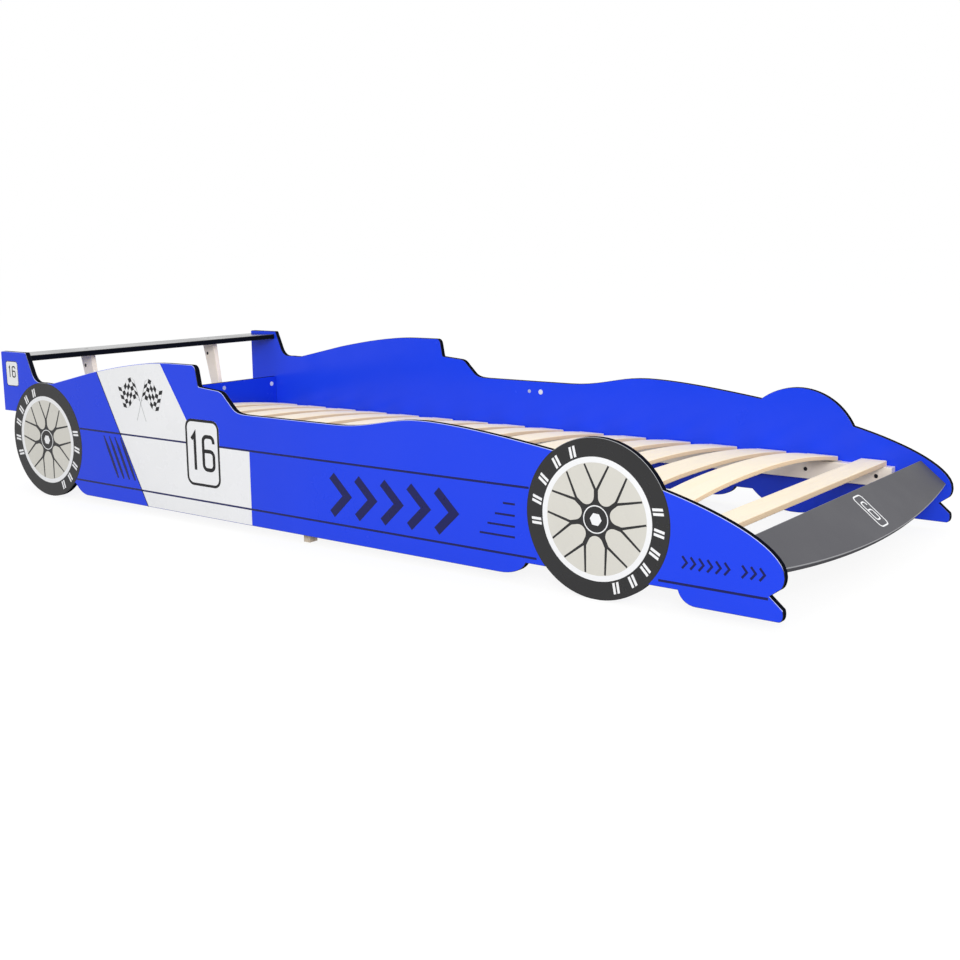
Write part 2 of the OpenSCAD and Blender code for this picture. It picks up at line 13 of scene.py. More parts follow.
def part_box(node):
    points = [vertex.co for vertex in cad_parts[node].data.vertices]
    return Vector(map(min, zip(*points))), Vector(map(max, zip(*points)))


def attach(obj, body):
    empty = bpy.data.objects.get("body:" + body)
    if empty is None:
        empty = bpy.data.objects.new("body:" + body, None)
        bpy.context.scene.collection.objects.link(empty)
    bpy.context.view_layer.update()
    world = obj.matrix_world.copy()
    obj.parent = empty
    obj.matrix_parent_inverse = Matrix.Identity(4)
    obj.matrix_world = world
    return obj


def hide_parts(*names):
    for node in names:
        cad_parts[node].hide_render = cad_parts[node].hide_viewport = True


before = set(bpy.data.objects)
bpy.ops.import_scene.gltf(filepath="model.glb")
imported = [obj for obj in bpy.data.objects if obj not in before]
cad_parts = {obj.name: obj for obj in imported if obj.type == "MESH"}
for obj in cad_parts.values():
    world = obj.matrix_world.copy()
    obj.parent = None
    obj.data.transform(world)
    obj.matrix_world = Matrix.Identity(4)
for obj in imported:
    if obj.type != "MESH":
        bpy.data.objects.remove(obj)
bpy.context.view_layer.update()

MM = 0.001

# Side panels
REAR_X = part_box("right_panel_rear")[0].x
OUTER_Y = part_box("left_panel_rear")[1].y
INNER_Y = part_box("left_panel_rear")[0].y
JOINT_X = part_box("left_panel_rear")[1].x
SIDES = {"right": -1, "left": 1}

# Wheels
WHEEL_STATIONS = (188.1, 1885.95)
WHEEL_HEIGHT = 151.7
WHEEL_RADIUS = 152.0

# Number plates: station and height of the middle, size and corner radius
SIDE_PLATE = ((811.6, 173.5), (118, 160), 22)
WING_PLATE = ((47.5, 321.0), (55, 68), 9)

# Bent slats: their rise, the distance from the bed's middle line at which it ends, the power of that curve,
# and the thickness of a light and a dark ply together
SLAT_RISE = 29.0
LAST_SLAT_RISE = 35.0
LAST_SLAT = "slat_15"
SLAT_HALF_SPAN = 440.0
SLAT_CURVE = 2.25
PLY_PAIR = 3.0

# Nose board's face: station and height of its upper edge, its slope, and the direction that it faces
NOSE_START = (2178.9, 156.94)
NOSE_SLOPE = math.radians(39.5)
NOSE_FACE = (math.sin(NOSE_SLOPE), 0, math.cos(NOSE_SLOPE))

# Layers of the prints: lowest and highest distance from the panel's outer face
LINE_LAYER = (0.0, 0.25)
PLATE_LAYER = (0.0, 0.3)
RING_LAYER = (0.2, 0.3)
MARK_LAYER = (0.3, 0.4)

# Camera, solved from the photograph: its place from the panels' rear end, and its angles in degrees
CAMERA_PLACE = (3.0329, -2.37335, 0.64897)
CAMERA_AZIMUTH = 38.347
CAMERA_ELEVATION = 10.311
CAMERA_ROLL = -0.742
CAMERA_LENS = 46.29
CAMERA_SENSOR = 36
CAMERA_SHIFT = (0.0404, -0.0107)

# World and floor
WORLD_COLOUR = (0.99, 0.995, 1.0, 1)
WORLD_STRENGTH = 0.84
FLOOR_SIZE = 120.0
FLOOR_BOUNCE = (0.30, 0.30, 0.30, 1)
FLOOR_SHADE = (0.18, 0.18, 0.18, 1)
FLOOR_GLOW = 0.85
WHITE = (1, 1, 1, 1)

# Limits of how far a surface is turned towards a direction, as the cosine of the angle between them
# LIT_TURN places the painted highlight line on arrises turned to the lit direction
LIT_TURN = (0.20, 0.50)
ARRIS_TURN = (0.12, 0.34)
FACE_TURN = (0.86, 0.97)
TOP_TURN = (0.15, 0.80)
EDGE_TURN = 0.05

# Cleaning of CAD meshes: distances in millimetres, and angles in degrees
WELD_DISTANCE = 0.01
FLAT_ANGLE = 0.05
SHARP_ANGLE = 35.0
SHORTEST_EDGE = 3.0
PLANE_DISTANCE = 0.02


def srgb(red, green, blue):
    """A colour given as 0 to 255, as linear values for a shader."""
    def linear(value):
        value /= 255
        return value / 12.92 if value <= 0.04045 else ((value + 0.055) / 1.055) ** 2.4
    return (linear(red), linear(green), linear(blue), 1.0)


def shade(colour, factor):
    """The colour, darker by that factor."""
    return [value * factor for value in colour[:3]] + [1]


# Shader nodes

def add(tree, kind, inputs=None, **settings):
    """A shader node. Its inputs are values, or sockets to link."""
    node = tree.nodes.new(kind)
    for name, value in settings.items():
        setattr(node, name, value)
    for key, value in (inputs or {}).items():
        if isinstance(value, bpy.types.NodeSocket):
            tree.links.new(value, node.inputs[key])
        else:
            node.inputs[key].default_value = value
    return node


def math_node(tree, operation, first, second=0.0, third=0.0, clamp=False):
    inputs = {0: first, 1: second, 2: third}
    return add(tree, "ShaderNodeMath", inputs, operation=operation, use_clamp=clamp).outputs[0]


def dot(tree, first, second):
    inputs = {0: first, 1: second}
    return add(tree, "ShaderNodeVectorMath", inputs, operation="DOT_PRODUCT").outputs["Value"]


def split(tree, vector):
    """The three coordinates of a vector."""
    return add(tree, "ShaderNodeSeparateXYZ", {0: vector}).outputs


def ramp(tree, value, low, high, low_result=0.0, high_result=1.0):
    """A smooth step of a value between two limits."""
    inputs = {"Value": value, "From Min": low, "From Max": high, "To Min": low_result, "To Max": high_result}
    return add(tree, "ShaderNodeMapRange", inputs, interpolation_type="SMOOTHSTEP").outputs["Result"]


def blend_colours(tree, factor, first, second, mode="MIX"):
    inputs = {0: factor, 6: first, 7: second}
    return add(tree, "ShaderNodeMix", inputs, data_type="RGBA", blend_type=mode).outputs[2]


def noise(tree, vector, scale, detail=2.0, roughness=0.5, stretch=None):
    """Noise from 0 to 1. The scale is in cycles per metre."""
    if stretch:
        vector = add(tree, "ShaderNodeMapping", {"Vector": vector, "Scale": stretch}).outputs[0]
    inputs = {"Vector": vector, "Scale": scale, "Detail": detail, "Roughness": roughness}
    return add(tree, "ShaderNodeTexNoise", inputs).outputs["Fac"]


def seen_directly(tree):
    """1 for the rays that show the background: from the camera, or by way of gloss or glass."""
    rays = add(tree, "ShaderNodeLightPath").outputs
    total = math_node(tree, "ADD", rays["Is Camera Ray"], rays["Is Glossy Ray"], clamp=True)
    return math_node(tree, "ADD", total, rays["Is Transmission Ray"], clamp=True)


# Camera, floor and light

def link(thing):
    bpy.context.scene.collection.objects.link(thing)
    return thing


def make_camera():
    azimuth = math.radians(CAMERA_AZIMUTH)
    elevation = math.radians(CAMERA_ELEVATION)
    roll = math.radians(CAMERA_ROLL)
    level = Vector((math.sin(azimuth), -math.cos(azimuth), 0))
    back = level * math.cos(elevation) + Vector((0, 0, math.sin(elevation)))
    right = Vector((0, 0, 1)).cross(back).normalized()
    up = back.cross(right)
    tilted_right = math.cos(roll) * right + math.sin(roll) * up
    tilted_up = math.cos(roll) * up - math.sin(roll) * right
    data = bpy.data.cameras.new("camera")
    data.sensor_width = CAMERA_SENSOR
    data.lens = CAMERA_LENS
    data.shift_x, data.shift_y = CAMERA_SHIFT
    camera = link(bpy.data.objects.new("camera", data))
    rotation = Matrix((tilted_right, tilted_up, back)).transposed().to_4x4()
    place = Vector((REAR_X, 0, 0)) + Vector(CAMERA_PLACE)
    camera.matrix_world = Matrix.Translation(place) @ rotation
    bpy.context.scene.camera = camera


def make_floor():
    """A white floor. Rays that show it see a glow with faint shadows, and other rays a grey bounce."""
    half = FLOOR_SIZE / 2
    mesh = bpy.data.meshes.new("floor")
    corners = [(-half, -half, 0), (half, -half, 0), (half, half, 0), (-half, half, 0)]
    mesh.from_pydata(corners, [], [(0, 1, 2, 3)])
    floor = link(bpy.data.objects.new("floor", mesh))
    material = bpy.data.materials.new("floor")
    material.use_nodes = True
    tree = material.node_tree
    tree.nodes.clear()
    bounce = add(tree, "ShaderNodeBsdfDiffuse", {"Color": FLOOR_BOUNCE}).outputs[0]
    shadows = add(tree, "ShaderNodeBsdfDiffuse", {"Color": FLOOR_SHADE}).outputs[0]
    glow = add(tree, "ShaderNodeEmission", {"Color": WHITE, "Strength": FLOOR_GLOW}).outputs[0]
    shown = add(tree, "ShaderNodeAddShader", {0: shadows, 1: glow}).outputs[0]
    mixed = add(tree, "ShaderNodeMixShader", {0: seen_directly(tree), 1: bounce, 2: shown}).outputs[0]
    add(tree, "ShaderNodeOutputMaterial", {"Surface": mixed})
    mesh.materials.append(material)


def make_world():
    """An even light that is seen as plain white."""
    world = bpy.data.worlds.new("studio")
    world.use_nodes = True
    tree = world.node_tree
    tree.nodes.clear()
    light = add(tree, "ShaderNodeBackground", {"Color": WORLD_COLOUR, "Strength": WORLD_STRENGTH}).outputs[0]
    shown = add(tree, "ShaderNodeBackground", {"Color": WHITE, "Strength": 1.0}).outputs[0]
    mixed = add(tree, "ShaderNodeMixShader", {0: seen_directly(tree), 1: light, 2: shown}).outputs[0]
    add(tree, "ShaderNodeOutputWorld", {"Surface": mixed})
    bpy.context.scene.world = world


def make_lamp(name, place, target, size, watts, colour):
    data = bpy.data.lights.new(name, "AREA")
    data.shape = "RECTANGLE"
    data.size, data.size_y = size
    data.energy = watts
    data.color = colour
    lamp = link(bpy.data.objects.new(name, data))
    lamp.location = place
    lamp.rotation_euler = (Vector(target) - Vector(place)).to_track_quat("-Z", "Y").to_euler()


def make_light():
    make_world()
    make_lamp("key_lamp", place=(3.6, -4.7, 2.4), target=(0.2, 0, 0.1), size=(2.6, 2.0), watts=208,
              colour=(1.0, 0.985, 0.965))
    make_lamp("top_lamp", place=(-0.8, 0.0, 1.9), target=(-0.8, 0, 0), size=(1.4, 1.0), watts=6,
              colour=(1.0, 0.99, 0.97))


# Materials

def new_material(name, roughness, specular=0.5, metallic=0.0):
    material = bpy.data.materials.new(name)
    material.use_nodes = True
    tree = material.node_tree
    shader = tree.nodes["Principled BSDF"]
    shader.inputs["Roughness"].default_value = roughness
    shader.inputs["Metallic"].default_value = metallic
    shader.inputs["Specular IOR Level"].default_value = specular
    place = add(tree, "ShaderNodeTexCoord").outputs
    return material, tree, shader, place


def add_bump(tree, shader, height, distance, strength):
    bump = add(tree, "ShaderNodeBump", {"Height": height, "Distance": distance, "Strength": strength})
    tree.links.new(bump.outputs[0], shader.inputs["Normal"])


def uneven(tree, vector, colour, amount, scale):
    """The colour, a little lighter and darker from place to place."""
    cloud = noise(tree, vector, scale, detail=3.0)
    factor = ramp(tree, cloud, 0.3, 0.7, 1 - amount, 1 + amount)
    grey = add(tree, "ShaderNodeCombineColor", {0: factor, 1: factor, 2: factor}).outputs[0]
    return blend_colours(tree, 1.0, colour, grey, "MULTIPLY")


def uneven_gloss(tree, shader, vector, low, high, scale=6.0):
    """Handling marks: the gloss changes softly over the surface."""
    smudge = noise(tree, vector, scale, detail=5.0, roughness=0.6)
    tree.links.new(ramp(tree, smudge, 0.35, 0.7, low, high), shader.inputs["Roughness"])


def lacquer(name, colour, gloss=(0.18, 0.28), specular=0.2, **edges):
    """Sprayed lacquer on a board, with faint orange peel. The rest is given to edge_colours."""
    material, tree, shader, place = new_material(name, sum(gloss) / 2, specular)
    point = place["Object"]
    tint = uneven(tree, point, colour, amount=0.03, scale=1.7)
    if edges:
        tint = edge_colours(tree, place, tint, **edges)
    tree.links.new(tint, shader.inputs["Base Color"])
    uneven_gloss(tree, shader, point, *gloss)
    add_bump(tree, shader, noise(tree, point, scale=420, detail=1.0), distance=0.00012, strength=0.35)
    return material


def edge_colours(tree, place, inner, edge, arris, face=(0, 1, 0), lit=(0, 0, 1), wheels=False):
    """The inner colour on a board's faces, and the edge's colour on its edges. The rounded arrises between
    them carry a painted highlight: a thin light line where they are turned to the lit direction."""
    normal = place["Normal"]
    point = place["Object"]
    facing = math_node(tree, "ABSOLUTE", dot(tree, normal, face))
    # Painted highlight: how much of the light line an arrises' bevel gets, by how far it turns to the lit
    # direction
    highlight_share = ramp(tree, dot(tree, normal, lit), *LIT_TURN)
    edge_tint = uneven(tree, point, edge, amount=0.12, scale=40)
    if wheels:
        outside = on_outside(tree, point)
        wheel = wheel_mask(tree, point, outside)
        inner = blend_colours(tree, wheel, inner, WHEEL_BLACK)
        # Within the printed wheels the painted highlight is grey, and it goes only on the panels' outer half
        arris = blend_colours(tree, wheel, arris, WHEEL_ARRIS_HIGHLIGHT)
        highlight_share = math_node(tree, "MULTIPLY", highlight_share, outside)
    line = blend_colours(tree, highlight_share, edge_tint, arris)
    rim = blend_colours(tree, ramp(tree, facing, *ARRIS_TURN), edge_tint, line)
    return blend_colours(tree, ramp(tree, facing, *FACE_TURN), rim, inner)


def on_outside(tree, point):
    """1 on the outer half of a side panel's thickness, and 0 elsewhere."""
    across = math_node(tree, "ABSOLUTE", dot(tree, point, (0, 1, 0)))
    return math_node(tree, "GREATER_THAN", across, (INNER_Y + OUTER_Y) / 2)


def wheel_mask(tree, point, outside):
    """1 on the outer face within the wheels, and 0 elsewhere."""
    x, _, z = split(tree, point)
    overrun = 0.1
    rise = math_node(tree, "SUBTRACT", z, WHEEL_HEIGHT * MM)
    total = 0.0
    for station in WHEEL_STATIONS:
        run = math_node(tree, "SUBTRACT", x, REAR_X + station * MM)
        squares = math_node(tree, "MULTIPLY_ADD", run, run, math_node(tree, "MULTIPLY", rise, rise))
        reach = math_node(tree, "SQRT", squares)
        inside = math_node(tree, "LESS_THAN", reach, (WHEEL_RADIUS + overrun) * MM)
        total = math_node(tree, "ADD", total, inside)
    return math_node(tree, "MULTIPLY", total, outside)


def print_ink(name, colour, amount=0.012):
    """Printed foil, with a fine grain and handling marks."""
    gloss = (0.24, 0.36)
    material, tree, shader, place = new_material(name, sum(gloss) / 2, specular=0.25)
    point = place["Object"]
    tree.links.new(uneven(tree, point, colour, amount=amount, scale=9.0), shader.inputs["Base Color"])
    uneven_gloss(tree, shader, point, *gloss, scale=14.0)
    add_bump(tree, shader, noise(tree, point, scale=900, detail=1.0), distance=0.00005, strength=0.3)
    return material


def slat_wood(name, seed, top, side, crown=0.0):
    """Light plywood: grain along Y, pores, and thin plies that show on the cut sides. The crown is how far the
    slat rises in its middle."""
    material, tree, shader, place = new_material(name, roughness=0.48, specular=0.18)
    shift = (seed * 0.37, seed * 1.73, seed * 0.91)
    point = add(tree, "ShaderNodeMapping", {"Vector": place["Object"], "Location": shift}).outputs[0]
    grain = noise(tree, point, scale=24, detail=6.0, roughness=0.62, stretch=(9.0, 0.55, 3.0))
    pores = noise(tree, point, scale=150, detail=2.0, stretch=(7.0, 0.35, 5.0))
    upward = math_node(tree, "ABSOLUTE", split(tree, place["Normal"])[2])
    plies = slat_plies(tree, place["Object"], point, side, crown)
    face = slat_face(tree, point, grain, pores, top)
    tint = blend_colours(tree, ramp(tree, upward, *TOP_TURN), plies, face)
    tree.links.new(tint, shader.inputs["Base Color"])
    tree.links.new(ramp(tree, grain, 0.3, 0.7, 0.40, 0.58), shader.inputs["Roughness"])
    relief = math_node(tree, "MULTIPLY_ADD", pores, 0.6, grain)
    add_bump(tree, shader, relief, distance=0.0004, strength=0.35)
    return material


def slat_face(tree, point, grain, pores, top):
    """The colour of a slat's upper and lower face."""
    streaks = noise(tree, point, scale=11, detail=3.0, stretch=(5.0, 0.16, 2.0))
    warm = (top[0] * 0.99, top[1] * 0.93, top[2] * 0.82, 1)
    tint = blend_colours(tree, ramp(tree, grain, 0.34, 0.68), shade(top, 0.95), top)
    tint = blend_colours(tree, ramp(tree, streaks, 0.52, 0.78, 0.0, 0.6), tint, warm)
    return blend_colours(tree, ramp(tree, pores, 0.60, 0.75, 0.0, 0.14), tint, PORE_BROWN)


def slat_plies(tree, place, point, side, crown):
    """The plies on a slat's cut sides. They follow its bend."""
    _, across, height = split(tree, place)
    level = math_node(tree, "SUBTRACT", height, slat_rise(tree, across, crown))
    layers = math_node(tree, "SINE", math_node(tree, "MULTIPLY", level, 2 * math.pi / (PLY_PAIR * MM)))
    wobble = noise(tree, point, scale=60, detail=3.0, stretch=(2.0, 0.6, 2.0))
    dark = shade(side, 0.86)
    plies = blend_colours(tree, ramp(tree, layers, -0.6, 0.8), dark, side)
    return blend_colours(tree, ramp(tree, wobble, 0.3, 0.7, 0.0, 0.3), plies, dark)


def slat_rise(tree, across, crown):
    """How far a bent slat has risen at that place across the bed, as in the CAD model."""
    distance = math_node(tree, "ABSOLUTE", across)
    share = math_node(tree, "MINIMUM", math_node(tree, "DIVIDE", distance, SLAT_HALF_SPAN * MM), 1.0)
    drop = math_node(tree, "POWER", share, SLAT_CURVE)
    return math_node(tree, "MULTIPLY", math_node(tree, "SUBTRACT", 1.0, drop), crown * MM)


def round_wood(name, colour, along):
    """Solid wood of the legs and dowels. The grain is stretched where the numbers of along are small."""
    material, tree, shader, place = new_material(name, roughness=0.5, specular=0.4)
    grain = noise(tree, place["Object"], scale=90, detail=5.0, roughness=0.6, stretch=along)
    tint = blend_colours(tree, ramp(tree, grain, 0.35, 0.7), shade(colour, 0.74), colour)
    tree.links.new(tint, shader.inputs["Base Color"])
    add_bump(tree, shader, grain, distance=0.0003, strength=0.4)
    return material


def painted_wood(name, colour):
    """White paint on wood, through which the grain shows faintly."""
    roughness = (0.32, 0.5)
    material, tree, shader, place = new_material(name, sum(roughness) / 2)
    point = place["Object"]
    grain = noise(tree, point, scale=40, detail=4.0, stretch=(0.5, 4.0, 4.0))
    tint = blend_colours(tree, ramp(tree, grain, 0.45, 0.75, 0.0, 0.5), colour, shade(colour, 0.95))
    tree.links.new(uneven(tree, point, tint, amount=0.02, scale=5.0), shader.inputs["Base Color"])
    uneven_gloss(tree, shader, point, *roughness)
    relief = math_node(tree, "MULTIPLY_ADD", noise(tree, point, scale=380, detail=1.0), 0.4, grain)
    add_bump(tree, shader, relief, distance=0.0002, strength=0.35)
    return material


def woven_band(name, colour):
    """Webbing: a plain weave of flat threads."""
    thread_pair = 2.4
    material, tree, shader, place = new_material(name, roughness=0.8, specular=0.25)
    x, y, _ = split(tree, place["Object"])
    turns = 2 * math.pi / (thread_pair * MM)
    warp = math_node(tree, "SINE", math_node(tree, "MULTIPLY", x, turns))
    weft = math_node(tree, "SINE", math_node(tree, "MULTIPLY", y, turns))
    weave = math_node(tree, "MULTIPLY_ADD", math_node(tree, "MULTIPLY", warp, weft), 0.5, 0.5)
    # Painted shade: the one-coloured weave is darker where it dips, between the threads
    tint = blend_colours(tree, weave, shade(colour, 0.7), colour)
    tree.links.new(tint, shader.inputs["Base Color"])
    add_bump(tree, shader, weave, distance=0.0004, strength=0.8)
    return material


def bare_metal(name, colour, roughness):
    material, tree, shader, place = new_material(name, roughness, metallic=1.0)
    point = place["Object"]
    tree.links.new(uneven(tree, point, colour, amount=0.12, scale=160), shader.inputs["Base Color"])
    uneven_gloss(tree, shader, point, roughness * 0.8, roughness * 1.3, scale=220)
    add_bump(tree, shader, noise(tree, point, scale=1500, detail=2.0), distance=0.00005, strength=0.3)
    return material


def moulded_plastic(name, colour):
    material, tree, shader, place = new_material(name, roughness=0.42)
    point = place["Object"]
    tree.links.new(uneven(tree, point, colour, amount=0.02, scale=60), shader.inputs["Base Color"])
    uneven_gloss(tree, shader, point, 0.34, 0.5, scale=120)
    add_bump(tree, shader, noise(tree, point, scale=2200, detail=1.0), distance=0.00004, strength=0.4)
    return material


BLUE = srgb(28, 66, 232)
# Painted highlight: the light blue line on the side panels' rounded arrises, where a lamp would gleam
BLUE_ARRIS_HIGHLIGHT = srgb(180, 190, 244)
# Painted shade: a darker copy of the panels' blue lacquer, for the headboard in the shade at the bed's rear
HEADBOARD_SHADED_BLUE = srgb(20, 54, 214)
EDGE_BLACK = srgb(16, 18, 27)
WHEEL_BLACK = srgb(44, 44, 46)
# Painted highlight: the grey line on the arrises within the printed wheels
WHEEL_ARRIS_HIGHLIGHT = srgb(150, 152, 156)
WING_BLACK = srgb(18, 18, 21)
NOSE_GREY = srgb(83, 83, 88)
NOSE_EDGE = srgb(106, 106, 110)
# Painted highlight: the light grey line on the nose board's rounded upper front edge
NOSE_ARRIS_HIGHLIGHT = srgb(158, 159, 163)
SLAT_TOP = srgb(254, 241, 216)
SLAT_SIDE = srgb(254, 226, 190)
PORE_BROWN = srgb(196, 160, 118)

EDGE_PAINT = lacquer("edge_paint", EDGE_BLACK, gloss=(0.5, 0.65), specular=0)
NOSE_EDGE_PAINT = lacquer("nose_edge_paint", NOSE_EDGE, gloss=(0.5, 0.65), specular=0)
PANEL_LACQUER = lacquer("panel_lacquer", BLUE, edge=EDGE_BLACK, arris=BLUE_ARRIS_HIGHLIGHT, wheels=True)
# The headboard's lacquer uses the darker blue: painted shade
HEADBOARD_SHADED_LACQUER = lacquer("headboard_shaded_lacquer", HEADBOARD_SHADED_BLUE, edge=EDGE_BLACK, arris=HEADBOARD_SHADED_BLUE,
                            face=(1, 0, 0))
BLACK_LACQUER = lacquer("black_lacquer", WING_BLACK, gloss=(0.14, 0.22), specular=0.45,
                        edge=EDGE_BLACK, arris=WING_BLACK, face=(0, 0, 1))
NOSE_LACQUER = lacquer("nose_lacquer", NOSE_GREY, gloss=(0.42, 0.50), specular=0.15,
                       edge=NOSE_EDGE, arris=NOSE_ARRIS_HIGHLIGHT, face=NOSE_FACE, lit=(1, 0, 0))
SUPPORT_PAINT = painted_wood("support_paint", srgb(253, 243, 229))
RAIL_PAINT = painted_wood("rail_paint", srgb(250, 240, 230))
LEG_WOOD = round_wood("leg_wood", srgb(224, 208, 188), along=(3.0, 3.0, 0.4))
DOWEL_WOOD = round_wood("dowel_wood", srgb(214, 178, 128), along=(3.0, 0.4, 3.0))
WEBBING = woven_band("webbing", srgb(214, 210, 200))
TYRE_INK = print_ink("tyre_ink", srgb(44, 44, 45), amount=0.05)
RIM_INK = print_ink("rim_ink", srgb(214, 212, 204))
WHITE_INK = print_ink("white_ink", srgb(241, 242, 244))
NAVY_INK = print_ink("navy_ink", srgb(12, 18, 84), amount=0.05)
BLACK_INK = print_ink("black_ink", srgb(12, 13, 17), amount=0.05)
GREY_INK = print_ink("grey_ink", srgb(196, 199, 200))
ZINC = bare_metal("zinc", srgb(196, 198, 202), roughness=0.3)
DARK_STEEL = bare_metal("dark_steel", srgb(52, 52, 56), roughness=0.42)
CAM_METAL = bare_metal("cam_metal", srgb(182, 180, 176), roughness=0.38)
CAP_PLASTIC = moulded_plastic("cap_plastic", srgb(212, 217, 234))
# Painted shade: a darker, bluer copy of the cap plastic, for the small caps on the headboard
SMALL_CAP_SHADED_PLASTIC = moulded_plastic("small_cap_shaded_plastic", srgb(168, 177, 214))


# CAD nodes

def even_normals(piece):
    normals = piece.modifiers.new("normals", "WEIGHTED_NORMAL")
    normals.weight = 100
    normals.keep_sharp = True


def dress(name, material, rounding=0.0, segments=2, flatness=FLAT_ANGLE):
    """Gives a CAD node its material and rounds its sharp edges."""
    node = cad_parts[name]
    mesh = node.data
    if "custom_normal" in mesh.attributes:
        mesh.attributes.remove(mesh.attributes["custom_normal"])
    mesh.shade_smooth()
    node.material_slots[0].material = material
    weld = node.modifiers.new("weld", "WELD")
    weld.merge_threshold = WELD_DISTANCE * MM
    flat = node.modifiers.new("flat", "DECIMATE")
    flat.decimate_type = "DISSOLVE"
    flat.angle_limit = math.radians(flatness)
    if rounding:
        bevel = node.modifiers.new("rounding", "BEVEL")
        bevel.width = rounding * MM
        bevel.segments = segments
        bevel.limit_method = "ANGLE"
        bevel.angle_limit = math.radians(SHARP_ANGLE)
        bevel.miter_outer = "MITER_ARC"
    even_normals(node)


def dress_slats():
    """Each bent slat has its own grain, and a tone that is slightly its own."""
    tones = 5
    for name in sorted(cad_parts):
        if name.startswith("slat_"):
            seed = int(name[-2:])
            tone = 1.0 - 0.03 * (seed * 7 % tones) / (tones - 1)
            rise = LAST_SLAT_RISE if name == LAST_SLAT else SLAT_RISE
            wood = slat_wood(name + "_wood", float(seed), shade(SLAT_TOP, tone), SLAT_SIDE, rise)
            dress(name, wood, rounding=2.2, segments=4, flatness=0.01)


def dress_nodes():
    dress_slats()
    for side in SIDES:
        dress(side + "_middle_leg", LEG_WOOD, rounding=1.2)
        dress(side + "_slat_strap", WEBBING, rounding=0.3)
    for name in ("leg_dowels", "front_slat_dowels", "panel_dowels", "board_dowels"):
        dress(name, DOWEL_WOOD, rounding=0.6)
    for name in ("rail_bolts", "wing_bolts", "wing_barrel_nuts"):
        dress(name, DARK_STEEL, rounding=0.3)
    for name in ("rail_insert_nuts", "joint_barrel_nuts", "support_screws"):
        dress(name, ZINC, rounding=0.3)
    for name in ("cam_locks", "cam_bolts"):
        dress(name, CAM_METAL, rounding=0.3)
    dress("cam_caps", CAP_PLASTIC, rounding=0.4, segments=3)
    # The small caps get the darker cap plastic: painted shade
    for name in ("joint_caps", "support_screw_caps"):
        dress(name, SMALL_CAP_SHADED_PLASTIC, rounding=0.4, segments=3)
    dress("tyre_foils", TYRE_INK)
    dress("rim_foils", RIM_INK)
    dress("stripe_foils", WHITE_INK)


# Boards that stand for CAD nodes

def link_piece(name, mesh, materials):
    for material in materials:
        mesh.materials.append(material)
    piece = link(bpy.data.objects.new(name, mesh))
    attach(piece, "root")
    return piece


def clean_shape(name):
    """A copy of a CAD node's mesh, with each flat face in one piece."""
    shape = bmesh.new()
    shape.from_mesh(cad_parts[name].data)
    bmesh.ops.remove_doubles(shape, verts=shape.verts, dist=WELD_DISTANCE * MM)
    flat_angle = math.radians(FLAT_ANGLE)
    bmesh.ops.dissolve_limit(shape, angle_limit=flat_angle, verts=shape.verts, edges=shape.edges)
    return shape


def is_sharp(edge):
    return len(edge.link_faces) == 2 and edge.calc_face_angle() > math.radians(SHARP_ANGLE)


def rounded_piece(name, shape, edges, rounding, materials, across):
    """The piece that stands for a CAD node, with those arrises rounded. A second material goes on the
    board's edges, which are the faces that lie along the direction across the board."""
    bmesh.ops.bevel(shape, geom=edges, offset=rounding * MM, offset_type="OFFSET", segments=3, profile=0.5,
                    affect="EDGES")
    shape.normal_update()
    for face in shape.faces:
        face.smooth = True
        is_edge = abs(face.normal.dot(Vector(across))) < EDGE_TURN
        face.material_index = int(len(materials) > 1 and is_edge)
    for edge in shape.edges:
        edge.smooth = not is_sharp(edge)
    mesh = bpy.data.meshes.new(name + "_board")
    shape.to_mesh(mesh)
    shape.free()
    piece = link_piece(name + "_board", mesh, materials)
    even_normals(piece)
    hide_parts(name)


def make_board(name, materials, rounding, across=(0, 1, 0)):
    """A board with rounded arrises. Its outline's edges are long, and short ones make up its holes' rims."""
    shape = clean_shape(name)
    edges = [edge for edge in shape.edges if is_sharp(edge) and edge.calc_length() > SHORTEST_EDGE * MM]
    rounded_piece(name, shape, edges, rounding, materials, across)


def make_panel(name):
    """A half of a side panel, its outline's arrises rounded. The joint to the other half stays closed."""
    shape = clean_shape(name)
    near = PLANE_DISTANCE * MM

    def key(vertex):
        return (round(vertex.co.x, 5), round(vertex.co.z, 5))

    def on_face(edge, face_y):
        return is_sharp(edge) and all(abs(abs(vertex.co.y) - face_y) < near for vertex in edge.verts)

    def off_joint(edge):
        return any(abs(vertex.co.x - JOINT_X) > near for vertex in edge.verts)

    outer = [edge for edge in shape.edges if on_face(edge, OUTER_Y) and off_joint(edge)]
    outline = {frozenset(map(key, edge.verts)) for edge in outer}
    inner = [edge for edge in shape.edges
             if on_face(edge, INNER_Y) and frozenset(map(key, edge.verts)) in outline]
    rounded_piece(name, shape, outer + inner, rounding=1.5, materials=[PANEL_LACQUER, EDGE_PAINT],
                  across=(0, 1, 0))


def make_boards():
    for half in ("right_panel_rear", "right_panel_front", "left_panel_rear", "left_panel_front"):
        make_panel(half)
    make_board("headboard", [HEADBOARD_SHADED_LACQUER, EDGE_PAINT], rounding=1.2, across=(1, 0, 0))
    make_board("rear_wing", [BLACK_LACQUER, EDGE_PAINT], rounding=1.5, across=(0, 0, 1))
    make_board("nose_board", [NOSE_LACQUER, NOSE_EDGE_PAINT], rounding=2.5, across=NOSE_FACE)
    front_wood = slat_wood("front_slat_wood", 0.0, SLAT_TOP, SLAT_SIDE)
    make_board("front_slat", [front_wood], rounding=2.2)
    for side in SIDES:
        make_board(side + "_wing_support", [SUPPORT_PAINT], rounding=1.5)
        make_board(side + "_rail", [RAIL_PAINT], rounding=1.5)


# Prints

